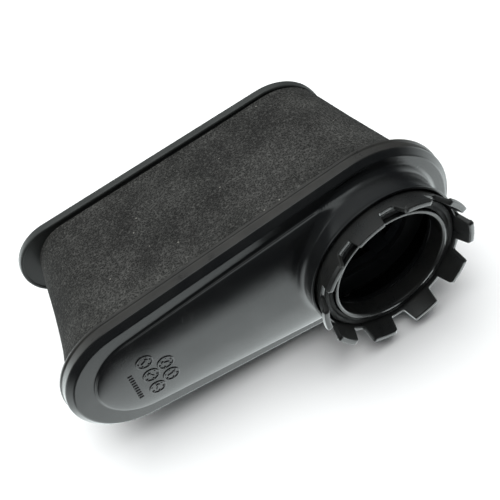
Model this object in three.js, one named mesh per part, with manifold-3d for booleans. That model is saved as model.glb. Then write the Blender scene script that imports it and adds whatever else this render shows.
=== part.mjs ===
// Cartridge air filter of a small engine: an egg-shaped pleated element between two moulded ends,
// a ramped duct with a castellated snap neck on the open end, and a foam prefilter sleeve outside.
// It lies on its long side: X runs along the oval, the neck points to -Y and the closed end to +Y.
import * as THREE from 'three';
import { mergeVertices } from 'three/addons/utils/BufferGeometryUtils.js';
import Module from 'manifold-3d';

const wasm = await Module();
wasm.setup();

// ---- Driving sizes, in millimetres. Plan sizes lie in the cover's face, z runs out of the neck. ----

const contactGap = 0.3;

const coverLength = 200;
const coverNarrowRadius = 33.15;
const coverWall = 2.3;
const coverWallExtra = 0.2;
const skirtHeight = 5.6;
const lipFlare = 0.6;
const lipHeight = 1.0;
const lipBlend = 0.4;
const edgeBevelWidth = 2.9;
const edgeBevelHeight = 2.3;

const ductTipLand = 12.6;
const ductTipRadius = 23.2;
const ductTipHeight = 2.1;
const ductNeckHeight = 5.4;
const ductShoulderDrop = 1.2;
const ductShoulderWidth = 9;
const ductLowerShoulderWidth = 3;

const neckEdgeToCoverEdge = 11.3;
const neckSideToCoverSide = 8.95;
const neckWall = 1.5;
const neckHeight = 17.2;
const neckFootFillet = 3;
const collarFlare = 1;
const collarHeight = 1.8;
const collarLip = 1.2;
const boreRadius = 28;
const neckShelfDepth = 3.7;
const neckShelfThickness = 2.4;

const clipHeight = 16.2;
const clipStraightHeight = 1.7;
const clipFlare = 4.4;
const clipFootWall = 2;
const clipTipWall = 2.5;
const clipFloorThickness = 2.05;
const clipFloorHeight = 5.85;
const spigotWall = 2;
const spigotRise = 3.35;
const sealChannelWidth = 3.7;
const tabCount = 10;
const notchDepth = 7.2;
const notchFootWidth = 7.3;
const notchMouthWidth = 11.6;
const barbReach = 0.9;
const barbHeight = 2.7;
const plainTabs = [3, 8];
const sealThickness = 1.65;

const bodyDepth = 85.2;
const capInsideNarrowEnd = 7.7;
const capInsideWideEnd = 13.8;
const capInsideNarrowSide = 11.35;
const capInsideWideSide = 14.85;
const capRimThickness = 4.7;
const capFloor = 2.3;
const capEdgeRounding = 1.4;

const foamThickness = 7;
const foamToCoverEdge = 5;
const foamToCapEdgeNarrow = 10;
const foamToCapEdgeWide = 1;
const foamToCapSide = 1.8;

const pleatCount = 72;
const pleatDepth = 8;
const pleatBand = 1.9;
const foamToPleat = 1;
const pottingThickness = 2.5;
const closedPottingThickness = 2;
const pottingMargin = 1.5;
const coreWall = 1.2;
const coreWindowRows = 4;
const coreWindowColumns = 14;
const coreWindowShare = 0.6;

// Cutters run this far past what they cut, and joined solids this far into each other.
const overshoot = 1;

const ringPoints = 96;
const coreRingPoints = 42;
const neckSegments = 60;

// ---- Plans: an oval is two end circles, its narrow one on the left, joined by straight tangents. ----

function ovalOf(length, narrowRadius, wideRadius, shift = 0) {
  return {
    left: shift - length / 2 + narrowRadius,
    leftRadius: narrowRadius,
    right: shift + length / 2 - wideRadius,
    rightRadius: wideRadius,
  };
}

function grown(oval, distance) {
  return {
    ...oval,
    leftRadius: oval.leftRadius + distance,
    rightRadius: oval.rightRadius + distance,
  };
}

// The point and outward normal at a share of the way round, counted from the lower tangent's end.
function ovalAt(oval, share) {
  const { left, leftRadius, right, rightRadius } = oval;
  const reach = right - left;
  const turn = Math.acos((leftRadius - rightRadius) / reach);
  const side = Math.sqrt(reach ** 2 - (rightRadius - leftRadius) ** 2);
  const wideArc = 2 * turn * rightRadius;
  const narrowArc = 2 * (Math.PI - turn) * leftRadius;
  let along = share * (wideArc + narrowArc + 2 * side);
  const onCircle = (centre, radius, angle, slip = 0) => {
    const normal = [Math.cos(angle), Math.sin(angle)];
    return {
      point: [centre + radius * normal[0] - slip * normal[1], radius * normal[1] + slip * normal[0]],
      normal,
    };
  };
  if (along < wideArc) {
    return onCircle(right, rightRadius, along / rightRadius - turn);
  }
  along -= wideArc;
  if (along < side) {
    return onCircle(right, rightRadius, turn, along);
  }
  along -= side;
  if (along < narrowArc) {
    return onCircle(left, leftRadius, turn + along / leftRadius);
  }
  return onCircle(left, leftRadius, 2 * Math.PI - turn, along - narrowArc);
}

// A closed ring of points on an oval, moved outward by offset(i), at the height z or z(x).
function ring(oval, z, offset = () => 0, count = ringPoints) {
  return Array.from({ length: count }, (_, i) => {
    const { point, normal } = ovalAt(oval, i / count);
    const x = point[0] + normal[0] * offset(i);
    const y = point[1] + normal[1] * offset(i);
    return [x, y, typeof z === 'function' ? z(x) : z];
  });
}

// The neck's wall stands round the seal's channel, and the cover's wide end round the neck.
const neckRadius = boreRadius + spigotWall + sealChannelWidth + clipFootWall + contactGap + neckWall;
const coverWideRadius = neckRadius + neckSideToCoverSide;
const coverPlan = ovalOf(coverLength, coverNarrowRadius, coverWideRadius);

const capLength = coverLength - capInsideNarrowEnd - capInsideWideEnd;
const capNarrowRadius = coverNarrowRadius - capInsideNarrowSide;
const capWideRadius = coverWideRadius - capInsideWideSide;
const capShift = (capInsideNarrowEnd - capInsideWideEnd) / 2;
const capPlan = ovalOf(capLength, capNarrowRadius, capWideRadius, capShift);

const neckCentre = coverLength / 2 - neckEdgeToCoverEdge - neckRadius;
const ductPlan = {
  left: ductTipLand + ductTipRadius - coverLength / 2,
  leftRadius: ductTipRadius,
  right: neckCentre,
  rightRadius: neckRadius,
};

const foamOpenPlan = grown(coverPlan, -foamToCoverEdge);
const foamClosedPlan = ovalOf(
  capLength - foamToCapEdgeNarrow - foamToCapEdgeWide,
  capNarrowRadius - foamToCapSide,
  capWideRadius - foamToCapSide,
  capShift + (foamToCapEdgeNarrow - foamToCapEdgeWide) / 2,
);

// ---- Heights along the neck axis, counted from the cover's outer edge. ----

const landZ = edgeBevelHeight;
const coverUndersideZ = landZ - coverWall - coverWallExtra;
const shelfZ = neckHeight - neckShelfDepth;
const clipFootZ = shelfZ + contactGap;
const clipTopZ = clipFootZ + clipHeight;
const clipFloorZ = clipFootZ + clipFloorHeight;
const capFrontZ = -bodyDepth;
const capBackZ = capFrontZ - capRimThickness;
const capFloorZ = capBackZ + capFloor;
const openPottingZ = coverUndersideZ - contactGap;
const pleatTopZ = openPottingZ - pottingThickness - contactGap;
const closedPottingZ = capFloorZ + contactGap;
const pleatFootZ = closedPottingZ + closedPottingThickness + contactGap;
const foamTopZ = pleatTopZ - contactGap;
const foamFootZ = capFrontZ + contactGap;

// The duct roof climbs evenly from the narrow end to the neck.
function ductRoof(x) {
  const tip = ductPlan.left - ductPlan.leftRadius;
  const climb = (ductNeckHeight - ductTipHeight) / (neckCentre - neckRadius - tip);
  return landZ + ductTipHeight + climb * (x - tip);
}

// The plan of the pleats and the core at any height is between the foam's two ends.
function bodyPlan(z, inset) {
  const share = (foamTopZ - z) / (foamTopZ - foamFootZ);
  const mix = (key) => foamOpenPlan[key] + (foamClosedPlan[key] - foamOpenPlan[key]) * share;
  const plan = {
    left: mix('left'),
    leftRadius: mix('leftRadius'),
    right: mix('right'),
    rightRadius: mix('rightRadius'),
  };
  return grown(plan, -inset);
}

// ---- Solids. ----

function solid(geometry) {
  const plain = geometry.index ? geometry.clone() : geometry;
  plain.deleteAttribute('normal');
  plain.deleteAttribute('uv');
  const merged = mergeVertices(plain, 1e-4);
  return new wasm.Manifold(new wasm.Mesh({
    numProp: 3,
    vertProperties: new Float32Array(merged.attributes.position.array),
    triVerts: new Uint32Array(merged.index.array),
  }));
}

function indexedGeometry(points, triangles) {
  const geometry = new THREE.BufferGeometry();
  geometry.setAttribute('position', new THREE.Float32BufferAttribute(points.flat(), 3));
  geometry.setIndex(triangles);
  return geometry;
}

function wallBetween(lower, upper, count) {
  const triangles = [];
  for (let i = 0; i < count; i += 1) {
    const next = (i + 1) % count;
    triangles.push(lower + i, lower + next, upper + next);
    triangles.push(lower + i, upper + next, upper + i);
  }
  return triangles;
}

// A solid through a stack of convex rings, lowest first, closed by flat ends.
function loft(rings) {
  const count = rings[0].length;
  const top = (rings.length - 1) * count;
  const triangles = [];
  for (let level = 1; level < rings.length; level += 1) {
    triangles.push(...wallBetween((level - 1) * count, level * count, count));
  }
  for (let i = 1; i < count - 1; i += 1) {
    triangles.push(0, i + 1, i);
    triangles.push(top, top + i, top + i + 1);
  }
  return solid(indexedGeometry(rings.flat(), triangles));
}

// A tube between an outer and an inner pair of rings, each pair listed lowest first.
function sleeve(outer, inner) {
  const count = outer[0].length;
  const triangles = [
    ...wallBetween(0, count, count),
    ...wallBetween(3 * count, 2 * count, count),
    ...wallBetween(count, 3 * count, count),
    ...wallBetween(2 * count, 0, count),
  ];
  return solid(indexedGeometry([...outer, ...inner].flat(), triangles));
}

// A body of revolution about the neck axis from a closed profile of [radius, z] points.
function turned(profile) {
  const points = [...profile, profile[0]].map(([radius, z]) => new THREE.Vector2(radius, z));
  const geometry = new THREE.LatheGeometry(points, neckSegments);
  geometry.rotateX(Math.PI / 2);
  geometry.translate(neckCentre, 0, 0);
  return solid(geometry);
}

function disc(radius, from, to) {
  const geometry = new THREE.CylinderGeometry(radius, radius, to - from, neckSegments);
  geometry.rotateX(Math.PI / 2);
  geometry.translate(neckCentre, 0, (from + to) / 2);
  return solid(geometry);
}

function material(color, roughness, metalness = 0) {
  return new THREE.MeshStandardMaterial({ color, roughness, metalness });
}

const blackPlastic = material(0x2b2c2d, 0.38);
const clipPlastic = material(0x303233, 0.34);
const blackRubber = material(0x1c1c1c, 0.75);
const pottingResin = material(0x3c3a36, 0.6);
const filterPaper = material(0xb9a67c, 0.9);
const cagePlastic = material(0x26282a, 0.5);
const greyFoam = material(0x4b4c47, 0.97);

function part(name, shape, look) {
  const { vertProperties, triVerts } = shape.getMesh();
  const geometry = new THREE.BufferGeometry();
  geometry.setAttribute('position', new THREE.Float32BufferAttribute(vertProperties, 3));
  geometry.setIndex(Array.from(triVerts));
  geometry.computeVertexNormals();
  const mesh = new THREE.Mesh(geometry, look);
  mesh.name = name;
  return mesh;
}

// ---- Sub-parts. ----

// A shallow pan with a bevelled edge and a flared lip, a hollow ramped duct and the neck's tube.
function ductCover() {
  const pan = loft([
    ring(grown(coverPlan, lipFlare), -skirtHeight),
    ring(grown(coverPlan, lipFlare), -skirtHeight + lipHeight),
    ring(coverPlan, -skirtHeight + lipHeight + lipBlend),
    ring(coverPlan, 0),
    ring(grown(coverPlan, -edgeBevelWidth), landZ),
  ]);
  const panHollow = loft([
    ring(grown(coverPlan, -coverWall), -skirtHeight - overshoot),
    ring(grown(coverPlan, -coverWall), coverUndersideZ),
  ]);
  const duct = loft([
    ring(ductPlan, coverUndersideZ + overshoot),
    ring(ductPlan, (x) => ductRoof(x) - ductShoulderDrop),
    ring(grown(ductPlan, -ductLowerShoulderWidth), (x) => ductRoof(x) - ductShoulderDrop / 3),
    ring(grown(ductPlan, -ductShoulderWidth), ductRoof),
  ]);
  const ceiling = (x) => ductRoof(x) - coverWall;
  const ductHollow = loft([
    ring(grown(ductPlan, -coverWall), coverUndersideZ - overshoot),
    ring(grown(ductPlan, -coverWall), (x) => ceiling(x) - ductShoulderDrop),
    ring(grown(ductPlan, -ductShoulderWidth), ceiling),
  ]);
  const innerRadius = neckRadius - neckWall;
  const outerTube = turned([
    [boreRadius, landZ - overshoot],
    [neckRadius + neckFootFillet, landZ - overshoot],
    [neckRadius + neckFootFillet, landZ],
    [neckRadius + neckFootFillet / 3, landZ + neckFootFillet / 3],
    [neckRadius, landZ + neckFootFillet],
    [neckRadius, neckHeight - collarHeight],
    [neckRadius + collarFlare, neckHeight - collarHeight + collarFlare],
    [neckRadius + collarFlare, neckHeight],
    [boreRadius, neckHeight],
  ]);
  const neckHollow = disc(innerRadius, coverUndersideZ - overshoot, shelfZ - neckShelfThickness)
    .add(disc(boreRadius + contactGap, shelfZ - neckShelfThickness - overshoot, shelfZ + overshoot))
    .add(turned([
      [boreRadius, shelfZ],
      [innerRadius, shelfZ],
      [innerRadius, neckHeight - collarHeight],
      [neckRadius + collarFlare - collarLip, neckHeight],
      [neckRadius + collarFlare - collarLip, neckHeight + overshoot],
      [boreRadius, neckHeight + overshoot],
    ]));
  const shell = pan.subtract(panHollow).add(duct).add(outerTube);
  return shell.subtract(ductHollow).subtract(neckHollow);
}

const clipOuterRadius = neckRadius - neckWall - contactGap;
const clipTipRadius = clipOuterRadius + clipFlare;

// The outside of the flared wall at a height above the ring's foot.
function clipRadiusAt(height) {
  const share = (height - clipStraightHeight) / (clipHeight - clipStraightHeight);
  return clipOuterRadius + clipFlare * Math.max(0, share);
}

function clipInnerRadiusAt(height) {
  const share = (height - clipFloorHeight) / (clipHeight - clipFloorHeight);
  return clipRadiusAt(height) - clipFootWall - (clipTipWall - clipFootWall) * share;
}

// A wedge-sided notch on the +X side, open to the ring's top, then turned to its place.
function notchCutter(angle) {
  const slope = (notchMouthWidth - notchFootWidth) / 2 / notchDepth;
  const half = notchFootWidth / 2;
  const cutHeight = notchDepth + overshoot;
  const outline = new THREE.Shape([
    new THREE.Vector2(-half, 0),
    new THREE.Vector2(half, 0),
    new THREE.Vector2(half + slope * cutHeight, cutHeight),
    new THREE.Vector2(-half - slope * cutHeight, cutHeight),
  ]);
  const start = boreRadius + spigotWall + overshoot;
  const depth = clipTipRadius + barbReach + 2 * overshoot - start;
  const geometry = new THREE.ExtrudeGeometry(outline, { depth, bevelEnabled: false });
  const along = new THREE.Vector3(0, 1, 0);
  const up = new THREE.Vector3(0, 0, 1);
  const outward = new THREE.Vector3(1, 0, 0);
  geometry.applyMatrix4(new THREE.Matrix4().makeBasis(along, up, outward));
  geometry.translate(start, 0, clipTopZ - notchDepth);
  geometry.rotateZ(angle);
  geometry.translate(neckCentre, 0, 0);
  return solid(geometry);
}

function barbClearer(angle) {
  const tabWidth = 2 * Math.PI * clipTipRadius / tabCount - notchFootWidth;
  const geometry = new THREE.BoxGeometry(barbReach * 8, tabWidth, barbHeight * 2);
  geometry.translate(clipTipRadius, 0, clipTopZ - barbHeight / 2);
  geometry.rotateZ(angle);
  geometry.translate(neckCentre, 0, 0);
  return solid(geometry);
}

// The snap ring: a flared wall cut into tabs, most with a barb, a channel floor and an inner spigot.
function clipRing() {
  const spigotOuter = boreRadius + spigotWall;
  const floorBottomZ = clipFloorZ - clipFloorThickness;
  let shape = turned([
    [boreRadius, clipFootZ],
    [spigotOuter, clipFootZ],
    [spigotOuter, floorBottomZ],
    [clipOuterRadius - clipFootWall, floorBottomZ],
    [clipOuterRadius - clipFootWall, clipFootZ],
    [clipOuterRadius, clipFootZ],
    [clipOuterRadius, clipFootZ + clipStraightHeight],
    [clipTipRadius, clipTopZ],
    [clipInnerRadiusAt(clipHeight), clipTopZ],
    [clipInnerRadiusAt(clipFloorHeight), clipFloorZ],
    [spigotOuter, clipFloorZ],
    [spigotOuter, clipFloorZ + spigotRise],
    [boreRadius, clipFloorZ + spigotRise],
  ]);
  const barbFoot = clipHeight - barbHeight;
  let barbs = turned([
    [clipInnerRadiusAt(barbFoot) + clipFootWall / 2, clipFootZ + barbFoot],
    [clipRadiusAt(barbFoot), clipFootZ + barbFoot],
    [clipRadiusAt(clipHeight - barbHeight / 2) + barbReach, clipTopZ - barbHeight / 2],
    [clipTipRadius, clipTopZ],
    [clipInnerRadiusAt(clipHeight) + clipFootWall / 2, clipTopZ],
  ]);
  const pitch = 2 * Math.PI / tabCount;
  for (const tab of plainTabs) {
    barbs = barbs.subtract(barbClearer(tab * pitch));
  }
  shape = shape.add(barbs);
  for (let notch = 0; notch < tabCount; notch += 1) {
    shape = shape.subtract(notchCutter((notch + 0.5) * pitch));
  }
  return shape;
}

// A flat rubber ring in the channel between the spigot and the tabs.
function neckSeal() {
  const inner = boreRadius + spigotWall + contactGap;
  const outer = clipInnerRadiusAt(clipFloorHeight) - contactGap;
  const foot = clipFloorZ + contactGap;
  return turned([
    [inner, foot],
    [outer, foot],
    [outer, foot + sealThickness],
    [inner, foot + sealThickness],
  ]);
}

const pleatInset = foamThickness + foamToPleat;
const coreInset = pleatInset + pleatDepth + 2 * contactGap;

function openEndPotting() {
  const outer = bodyPlan(pleatTopZ, pleatInset - pottingMargin);
  const inner = bodyPlan(pleatTopZ, coreInset + coreWall);
  const foot = openPottingZ - pottingThickness;
  return sleeve(
    [ring(outer, foot), ring(outer, openPottingZ)],
    [ring(inner, foot), ring(inner, openPottingZ)],
  );
}

function closedEndPotting() {
  const plan = bodyPlan(pleatFootZ, pleatInset - pottingMargin);
  return loft([
    ring(plan, closedPottingZ),
    ring(plan, closedPottingZ + closedPottingThickness),
  ]);
}

// Paper folded into even pleats round the oval: every other fold lies a pleat's depth inward.
function pleatedElement() {
  const folds = 2 * pleatCount;
  const fold = (z, band) => {
    const offset = (i) => (i % 2 === 0 ? -band : -pleatDepth + pleatBand - band);
    return ring(bodyPlan(z, pleatInset), z, offset, folds);
  };
  return sleeve(
    [fold(pleatFootZ, 0), fold(pleatTopZ, 0)],
    [fold(pleatFootZ, pleatBand), fold(pleatTopZ, pleatBand)],
  );
}

// A moulded cage inside the pleats, with rows of windows through its wall.
function supportCore() {
  const wall = (z, inset) => ring(bodyPlan(z, inset), z, undefined, coreRingPoints);
  let shape = sleeve(
    [wall(pleatFootZ, coreInset), wall(pleatTopZ, coreInset)],
    [wall(pleatFootZ, coreInset + coreWall), wall(pleatTopZ, coreInset + coreWall)],
  );
  const rowPitch = (pleatTopZ - pleatFootZ) / coreWindowRows;
  for (let row = 0; row < coreWindowRows; row += 1) {
    const z = pleatFootZ + (row + 0.5) * rowPitch;
    const plan = bodyPlan(z, coreInset + coreWall / 2);
    const girth = 2 * (plan.right - plan.left) + Math.PI * (plan.leftRadius + plan.rightRadius);
    const width = coreWindowShare * girth / coreWindowColumns;
    for (let column = 0; column < coreWindowColumns; column += 1) {
      const { point, normal } = ovalAt(plan, column / coreWindowColumns);
      const window = new THREE.BoxGeometry(4 * coreWall, width, coreWindowShare * rowPitch);
      window.rotateZ(Math.atan2(normal[1], normal[0]));
      window.translate(point[0], point[1], z);
      shape = shape.subtract(solid(window));
    }
  }
  return shape;
}

// The closed end: a plate with a rounded rim and a recess that holds the potting.
function closedEndCap() {
  const plate = loft([
    ring(grown(capPlan, -capEdgeRounding), capBackZ),
    ring(capPlan, capBackZ + capEdgeRounding),
    ring(capPlan, capFrontZ - capEdgeRounding),
    ring(grown(capPlan, -capEdgeRounding), capFrontZ),
  ]);
  const recessPlan = bodyPlan(pleatFootZ, pleatInset - pottingMargin - contactGap);
  const recess = loft([ring(recessPlan, capFloorZ), ring(recessPlan, capFrontZ + overshoot)]);
  return plate.subtract(recess);
}

function foamPrefilter() {
  return sleeve(
    [ring(bodyPlan(foamFootZ, 0), foamFootZ), ring(bodyPlan(foamTopZ, 0), foamTopZ)],
    [
      ring(bodyPlan(foamFootZ, foamThickness), foamFootZ),
      ring(bodyPlan(foamTopZ, foamThickness), foamTopZ),
    ],
  );
}

const filter = new THREE.Group();
filter.add(
  part('duct_cover', ductCover(), blackPlastic),
  part('clip_ring', clipRing(), clipPlastic),
  part('neck_seal', neckSeal(), blackRubber),
  part('open_end_potting', openEndPotting(), pottingResin),
  part('pleated_element', pleatedElement(), filterPaper),
  part('support_core', supportCore(), cagePlastic),
  part('closed_end_potting', closedEndPotting(), pottingResin),
  part('closed_end_cap', closedEndCap(), blackPlastic),
  part('foam_prefilter', foamPrefilter(), greyFoam),
);

// Laid on its side with the origin under the middle of its length and of its depth.
filter.rotation.x = Math.PI / 2;
filter.position.set(0, (clipTopZ + capBackZ) / 2, coverWideRadius + lipFlare);

const airFilter = new THREE.Group();
airFilter.add(filter);

export default airFilter;
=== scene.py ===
import math

import bpy
import numpy as np
from mathutils import Matrix, Vector


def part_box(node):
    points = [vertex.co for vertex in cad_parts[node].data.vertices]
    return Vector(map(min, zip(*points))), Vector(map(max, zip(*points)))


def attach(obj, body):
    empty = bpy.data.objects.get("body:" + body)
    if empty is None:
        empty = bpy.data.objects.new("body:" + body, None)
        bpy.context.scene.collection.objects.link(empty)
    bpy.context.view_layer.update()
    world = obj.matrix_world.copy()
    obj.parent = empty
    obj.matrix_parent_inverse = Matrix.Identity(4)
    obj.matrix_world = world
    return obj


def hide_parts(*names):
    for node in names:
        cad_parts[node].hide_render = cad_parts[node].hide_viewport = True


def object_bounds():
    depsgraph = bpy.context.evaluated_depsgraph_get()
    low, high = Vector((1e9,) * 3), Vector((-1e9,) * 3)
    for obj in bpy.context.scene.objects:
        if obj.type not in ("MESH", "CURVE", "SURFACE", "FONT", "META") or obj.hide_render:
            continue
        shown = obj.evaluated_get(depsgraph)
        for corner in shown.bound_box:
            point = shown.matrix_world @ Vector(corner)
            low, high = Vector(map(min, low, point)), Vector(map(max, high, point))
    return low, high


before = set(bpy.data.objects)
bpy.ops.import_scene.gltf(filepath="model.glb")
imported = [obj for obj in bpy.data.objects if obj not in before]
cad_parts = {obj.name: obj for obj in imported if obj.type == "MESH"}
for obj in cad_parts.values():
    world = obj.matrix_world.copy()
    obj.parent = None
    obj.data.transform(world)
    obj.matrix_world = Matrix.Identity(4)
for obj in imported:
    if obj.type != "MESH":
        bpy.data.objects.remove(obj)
CAD_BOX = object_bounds()

bl_info = {
    "name": "Cartridge air filter",
    "version": (1, 0, 0),
    "blender": (4, 5, 0),
    "location": "3D View > Sidebar > Air filter",
    "description": "Builds the visible pieces of a small engine's cartridge air filter over its CAD frame",
    "category": "Object",
}

MM = 0.001
PLAIN_TABS = (3, 8)


# ---- Properties ----------------------------------------------------------------------------------

def length(name, millimetres, description):
    """A length property whose default is given in millimetres."""
    return bpy.props.FloatProperty(
        name=name, description=description, default=millimetres * MM, unit="LENGTH",
        subtype="DISTANCE", precision=5,
    )


def number(name, value, description):
    """A plain number property."""
    return bpy.props.FloatProperty(name=name, description=description, default=value)


def count(name, value, description):
    """A whole number property."""
    return bpy.props.IntProperty(name=name, description=description, default=value, min=2)


class CoverSizes(bpy.types.PropertyGroup):
    """The moulded cover: pan, ramped duct and neck."""

    length: length("Length", 200, "Cover, end to end, without its lip")
    narrow_radius: length("Narrow radius", 33.15, "End circle at the duct's tip")
    wide_radius: length("Wide radius", 46.45, "End circle round the neck")
    wall: length("Wall", 2.3, "Thickness of the skirt and the roof")
    skirt: length("Skirt height", 5.6, "Side wall below the outer edge")
    lip_flare: length("Lip flare", 0.6, "How far the lip stands out at the skirt's foot")
    lip_height: length("Lip height", 1.0, "Height of the lip")
    bevel_width: length("Bevel width", 2.9, "Plan width of the bevel round the edge")
    bevel_height: length("Bevel height", 2.3, "Height of the bevel, up to the land")
    edge_round: length("Edge rounding", 0.6, "Rounding of the cover's edges")
    tip_land: length("Tip land", 12.6, "Land left between the cover's end and the duct's tip")
    tip_radius: length("Duct tip radius", 23.2, "End circle of the duct")
    tip_rise: length("Duct tip rise", 1.9, "Height of the duct's roof at its tip")
    neck_rise: length("Duct neck rise", 5.3, "Height of the duct's roof at the neck")
    foot_round: length("Duct foot fillet", 0.8, "Fillet between the land and the duct's wall")
    dome: number("Dome", 2.5, "How square the duct's section is: 2 is an ellipse")
    dome_share: number("Dome share", 0.78, "Share of the duct's half width that its shoulder takes")
    neck_edge: length("Neck to edge", 11.3, "From the neck's wall to the cover's wide end")
    neck_radius: length("Neck radius", 37.5, "Outside of the neck's wall")
    neck_wall: length("Neck wall", 1.5, "Thickness of the neck's wall")
    neck_height: length("Neck height", 17.2, "Top of the collar above the outer edge")
    neck_fillet: length("Neck fillet", 3.4, "Fillet round the neck's foot")
    collar_flare: length("Collar flare", 1.0, "How far the collar stands out")
    collar_height: length("Collar height", 1.9, "Height of the flared collar")
    collar_lip: length("Collar lip", 1.2, "Width of the collar's top")
    shelf_depth: length("Shelf depth", 3.7, "Depth of the shelf below the collar's top")
    shelf_wall: length("Shelf wall", 2.4, "Thickness of the shelf")
    bore: length("Bore radius", 28.3, "Hole through the shelf")
    columns: count("Columns", 620, "Points round the cover's grid")


class MarkSizes(bpy.types.PropertyGroup):
    """Plain raised moulding marks on the duct, in two staggered columns and a row of bars."""

    column: length("First column", -63.4, "Place of the first column along the cover")
    column_pitch: length("Column pitch", 7.9, "From the first column to the second")
    pitch: length("Pitch", 10.1, "From one ring to the next in a column")
    radius: length("Ring radius", 3.6, "Radius of a ring")
    line: length("Line width", 0.8, "Width of a raised line")
    height: length("Line height", 0.38, "Height of a raised line")
    bar_place: length("Bar place", -71.6, "Place of the row of bars along the cover")
    bar_length: length("Bar length", 2.3, "Length of a bar")
    bar_pitch: length("Bar pitch", 1.9, "From one bar to the next")
    bar_shift: length("Bar shift", -3.4, "Middle of the row of bars off the cover's long axis")
    bars: count("Bars", 10, "Bars in the row")


class ClipSizes(bpy.types.PropertyGroup):
    """The castellated snap ring in the neck."""

    foot: length("Foot", 13.8, "Underside of the ring above the cover's outer edge")
    height: length("Height", 16.2, "Ring, from foot to tips")
    straight: length("Straight height", 1.7, "Straight part of the wall at its foot")
    radius: length("Foot radius", 35.7, "Outside of the wall at its foot")
    flare: length("Flare", 4.4, "How far the wall leans out by its tips")
    foot_wall: length("Foot wall", 2.0, "Wall at the channel's floor")
    tip_wall: length("Tip wall", 2.5, "Wall at the tips")
    tabs: count("Tabs", 10, "Tabs round the ring")
    notch: length("Notch depth", 7.2, "Depth of the notches between the tabs")
    notch_foot: length("Notch foot", 7.4, "Width of a notch at its foot")
    notch_mouth: length("Notch mouth", 10.9, "Width of a notch at the tips")
    corner: length("Tab corner", 1.3, "Rounding of a barbed tab's corners")
    plain_corner: length("Plain tab corner", 0.45, "Rounding of a plain tab's corners")
    notch_corner: length("Notch corner", 0.9, "Rounding in a notch's corners")
    edge: length("Edge rounding", 0.42, "Rounding of every edge")
    barb: length("Barb reach", 0.9, "How far a barb stands out")
    barb_height: length("Barb height", 2.8, "Height of a barb, down from the tip")
    floor: length("Floor height", 5.85, "Channel floor above the foot")
    floor_wall: length("Floor wall", 2.05, "Thickness of the channel's floor")
    spigot_wall: length("Spigot wall", 2.0, "Wall of the inner spigot")
    spigot_rise: length("Spigot rise", 3.35, "Spigot above the channel's floor")
    bore: length("Bore radius", 28.0, "Inside of the spigot")
    seal: length("Seal thickness", 1.65, "Rubber ring in the channel")
    gap: length("Gap", 0.3, "Clearance between pieces that touch")
    seal_columns: count("Seal columns", 240, "Points round the seal's grid")


class BodySizes(bpy.types.PropertyGroup):
    """The foam sleeve, the closed end and the pleats."""

    depth: length("Body depth", 85.2, "From the cover's outer edge to the closed end's front")
    rim: length("Rim thickness", 4.7, "Thickness of the closed end")
    cap_floor: length("Cap floor", 2.3, "Back wall of the closed end")
    cap_narrow_end: length("Inside narrow end", 7.7, "Closed end's narrow end inside the cover's")
    cap_wide_end: length("Inside wide end", 13.8, "Closed end's wide end inside the cover's")
    cap_narrow_side: length("Inside narrow side", 11.35, "Smaller narrow radius of the closed end")
    cap_wide_side: length("Inside wide side", 14.85, "Smaller wide radius of the closed end")
    cap_round: length("Rim rounding", 1.7, "Rounding of the closed end's edges")
    foam: length("Foam thickness", 7.0, "Thickness of the foam sleeve")
    foam_top: length("Foam top", -3.6, "Where the sleeve ends under the cover")
    foam_cover: length("Foam to cover edge", 5.0, "Sleeve inside the cover's outline")
    foam_narrow: length("Foam to narrow rim", 10.0, "Sleeve inside the closed end's narrow end")
    foam_wide: length("Foam to wide rim", 1.0, "Sleeve inside the closed end's wide end")
    foam_side: length("Foam to side rim", 1.8, "Sleeve inside the closed end's sides")
    bulge: length("Bulge", 1.1, "How far the foam swells near the cover")
    wave: length("Wave", 0.3, "Height of the foam's slow waves")
    grain: length("Grain", 0.03, "Height of the foam's cut grain")
    pleat_gap: length("Foam to pleats", 1.0, "Clearance between the foam and the pleats")
    pleat_depth: length("Pleat depth", 8.0, "Depth of the folds")
    pleat_top: length("Pleat top", -3.3, "Upper ends of the pleats")
    pleat_foot: length("Pleat foot", -85.0, "Lower ends of the pleats")
    paper: length("Paper band", 1.3, "Radial thickness of the folded paper")
    pleats: count("Pleats", 72, "Folds round the element")
    foam_columns: count("Foam columns", 640, "Points round the sleeve's grid")
    cap_columns: count("Closed end columns", 480, "Points round the closed end's grid")
    fold_columns: count("Fold columns", 14, "Points round each fold")
    fold_rows: count("Fold rows", 14, "Points up a fold")


class StageSettings(bpy.types.PropertyGroup):
    """Camera, light and floor."""

    heading: number("Heading", 16.5, "Camera heading from +Y towards +X, in degrees")
    elevation: number("Elevation", 48.5, "Camera above the horizon, in degrees")
    roll: number("Roll", 17.8, "Roll of the camera, in degrees")
    distance: length("Distance", 366, "Camera to target")
    lens: number("Lens", 58.65, "Focal length on a 36 mm sensor, in millimetres")
    target: bpy.props.FloatVectorProperty(
        name="Target", description="Target, from the middle of the CAD box", unit="LENGTH",
        subtype="TRANSLATION", default=(2.2 * MM, -14.6 * MM, 13.87 * MM),
    )
    floor: length("Floor size", 12000, "Side of the floor")
    key: number("Key light", 27.0, "Power of the overhead softbox, in watts")
    key_size: length("Key size", 1600, "Side of the overhead softbox")
    key_place: bpy.props.FloatVectorProperty(
        name="Key place", description="Overhead softbox, from the target", unit="LENGTH",
        subtype="TRANSLATION", default=(-0.1, 0.1, 1.2),
    )


# ---- Grids ---------------------------------------------------------------------------------------

def grid_faces(rows, columns, wrap_rows=False, wrap_columns=True, start=0):
    """Quads of a grid of points stored row by row; a wrapped direction joins its last to its first."""
    i, j = np.meshgrid(
        np.arange(rows - (not wrap_rows)), np.arange(columns - (not wrap_columns)), indexing="ij",
    )
    below, above = i * columns, (i + 1) % rows * columns
    here, there = j, (j + 1) % columns
    quads = np.stack([below + here, below + there, above + there, above + here], axis=-1)
    return quads.reshape(-1, 4) + start


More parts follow.
